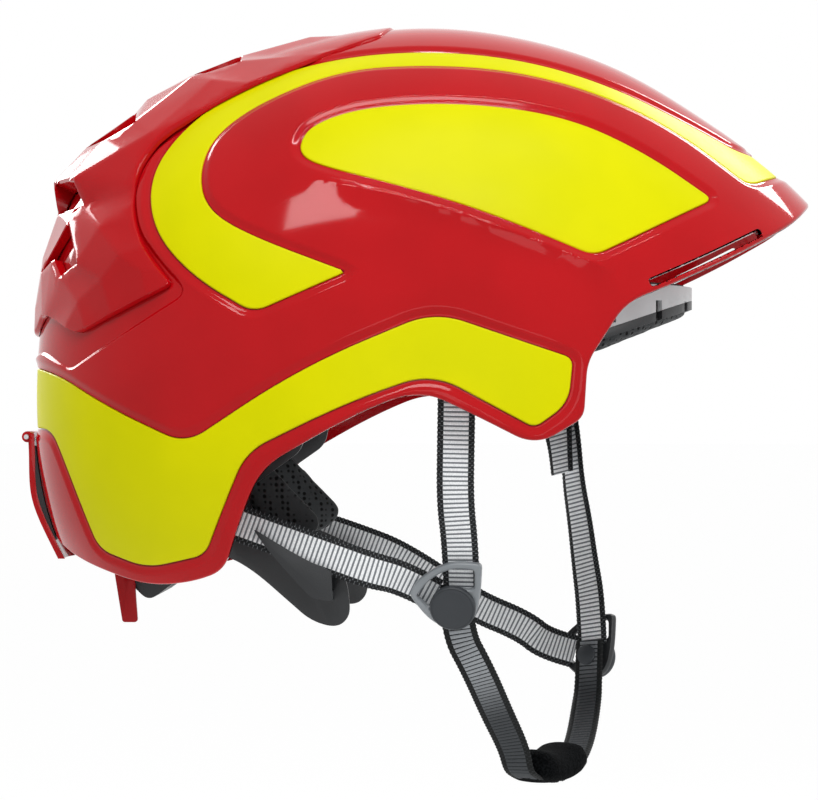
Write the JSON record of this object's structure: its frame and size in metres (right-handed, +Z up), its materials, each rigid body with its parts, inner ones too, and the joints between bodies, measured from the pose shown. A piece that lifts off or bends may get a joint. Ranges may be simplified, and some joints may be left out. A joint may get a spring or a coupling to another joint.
{
  "type": "safety helmet",
  "caption": "Hard hat with rear vent cover, yellow inlays, headband with knob size adjuster, and a four-strap chin harness with a padded chin strap",
  "frame": {"origin": "middle of the head opening, between the ears, where the head holds the helmet", "axes": "+X to the front, +Y to the wearer's left, +Z up; the helmet is stored nose up by 24 degrees, so the head's forward axis is (0.914, 0, 0.407)"},
  "size_m": [0.3127, 0.216, 0.303],
  "materials": {
    "shell_red": "glossy moulded red plastic",
    "tab_red": "red moulded rubber-like plastic",
    "inlay_yellow": "satin fluorescent yellow plastic",
    "liner_foam": "black expanded foam",
    "pad_mesh": "black spacer mesh over foam",
    "band_grey": "silver grey moulded nylon",
    "black_plastic": "black moulded nylon, fine grain",
    "knob_grey": "dark grey moulded nylon",
    "white_plastic": "natural acetal",
    "steel": "zinc plated steel",
    "frame_grey": "grey moulded nylon with a lit rim",
    "disc_grey": "dark grey moulded nylon, spark-eroded grain",
    "webbing_light": "ribbed polyester webbing, pale face with dark edges",
    "webbing_dark": "ribbed polyester webbing, dark",
    "fleece_black": "black fleece"
  },
  "bodies": {
    "root": {"brow_pad": "pad_mesh", "clip_pin": "steel", "crown_pad": "pad_mesh", "crown_stripe": "inlay_yellow", "disc_left": "disc_grey", "disc_right": "disc_grey", "divider_left": "black_plastic", "divider_right": "frame_grey", "front_strap_left": "webbing_light", "front_strap_right": "webbing_light", "hanger_front_left": "black_plastic", "hanger_front_right": "black_plastic", "hanger_rear_left": "black_plastic", "hanger_rear_right": "black_plastic", "headband": "band_grey", "impact_liner": "liner_foam", "lower_band": "inlay_yellow", "outer_shell": "shell_red", "post_screws": "steel", "rear_strap_left": "webbing_light", "rear_strap_right": "webbing_light", "rear_vent_cover": "shell_red", "side_inlay_left": "inlay_yellow", "side_inlay_right": "inlay_yellow", "strap_post_front_left": "black_plastic", "strap_post_front_right": "black_plastic", "strap_post_rear_left": "black_plastic", "strap_post_rear_right": "black_plastic", "strap_tail": "webbing_light"},
    "knob": {"size_knob": "knob_grey", "knob_axle": "steel", "knob_pinion": "white_plastic"},
    "rack_left_bar": {"rack_left": "white_plastic"},
    "rack_right_bar": {"rack_right": "white_plastic"},
    "cradle": {"nape_cradle": "black_plastic", "nape_pad": "pad_mesh", "knob_housing": "black_plastic", "tab_pin": "steel"},
    "pull_tab": {"rear_tab": "tab_red"},
    "lamp_clip": {"rear_lamp_clip": "shell_red"},
    "chin_loop": {"chin_strap_left": "webbing_dark", "chin_strap_right": "webbing_dark", "chin_pad": "fleece_black"}
  },
  "joints": [
    {"name": "cradle_slide", "type": "slide", "parent": "root", "child": "cradle", "axis": [0.9135, 0, 0.4067], "range_m": [0, 0.006]},
    {"name": "size_knob_turn", "type": "hinge", "parent": "cradle", "child": "knob", "pos_m": [-0.11957, 0, -0.05105], "axis": [0.9135, 0, 0.4067], "range_deg": [0, 57.5]},
    {"name": "rack_left_slide", "type": "slide", "parent": "cradle", "child": "rack_left_bar", "axis": [0, -1, 0], "range_m": [0, 0.006]},
    {"name": "rack_right_slide", "type": "slide", "parent": "cradle", "child": "rack_right_bar", "axis": [0, 1, 0], "range_m": [0, 0.006]},
    {"name": "pull_tab_swing", "type": "hinge", "parent": "cradle", "child": "pull_tab", "pos_m": [-0.11008, -0.0306, -0.06598], "axis": [0, 1, 0], "range_deg": [-35, 35]},
    {"name": "lamp_clip_open", "type": "hinge", "parent": "root", "child": "lamp_clip", "pos_m": [-0.1511, 0, -0.0146], "axis": [0, 1, 0], "range_deg": [0, 20], "stiffness_Nm_per_rad": 0.08},
    {"name": "chin_loop_swing", "type": "hinge", "parent": "root", "child": "chin_loop", "pos_m": [0.0196, -0.075, -0.0772], "axis": [0.3481, 0.9173, -0.1935], "range_deg": [-15, 15]}
  ],
  "couplings": [
    {"joint": "size_knob_turn", "follows": "cradle_slide", "rad_per_m": 166.67},
    {"joint": "rack_left_slide", "follows": "cradle_slide", "ratio": 1},
    {"joint": "rack_right_slide", "follows": "cradle_slide", "ratio": 1}
  ]
}
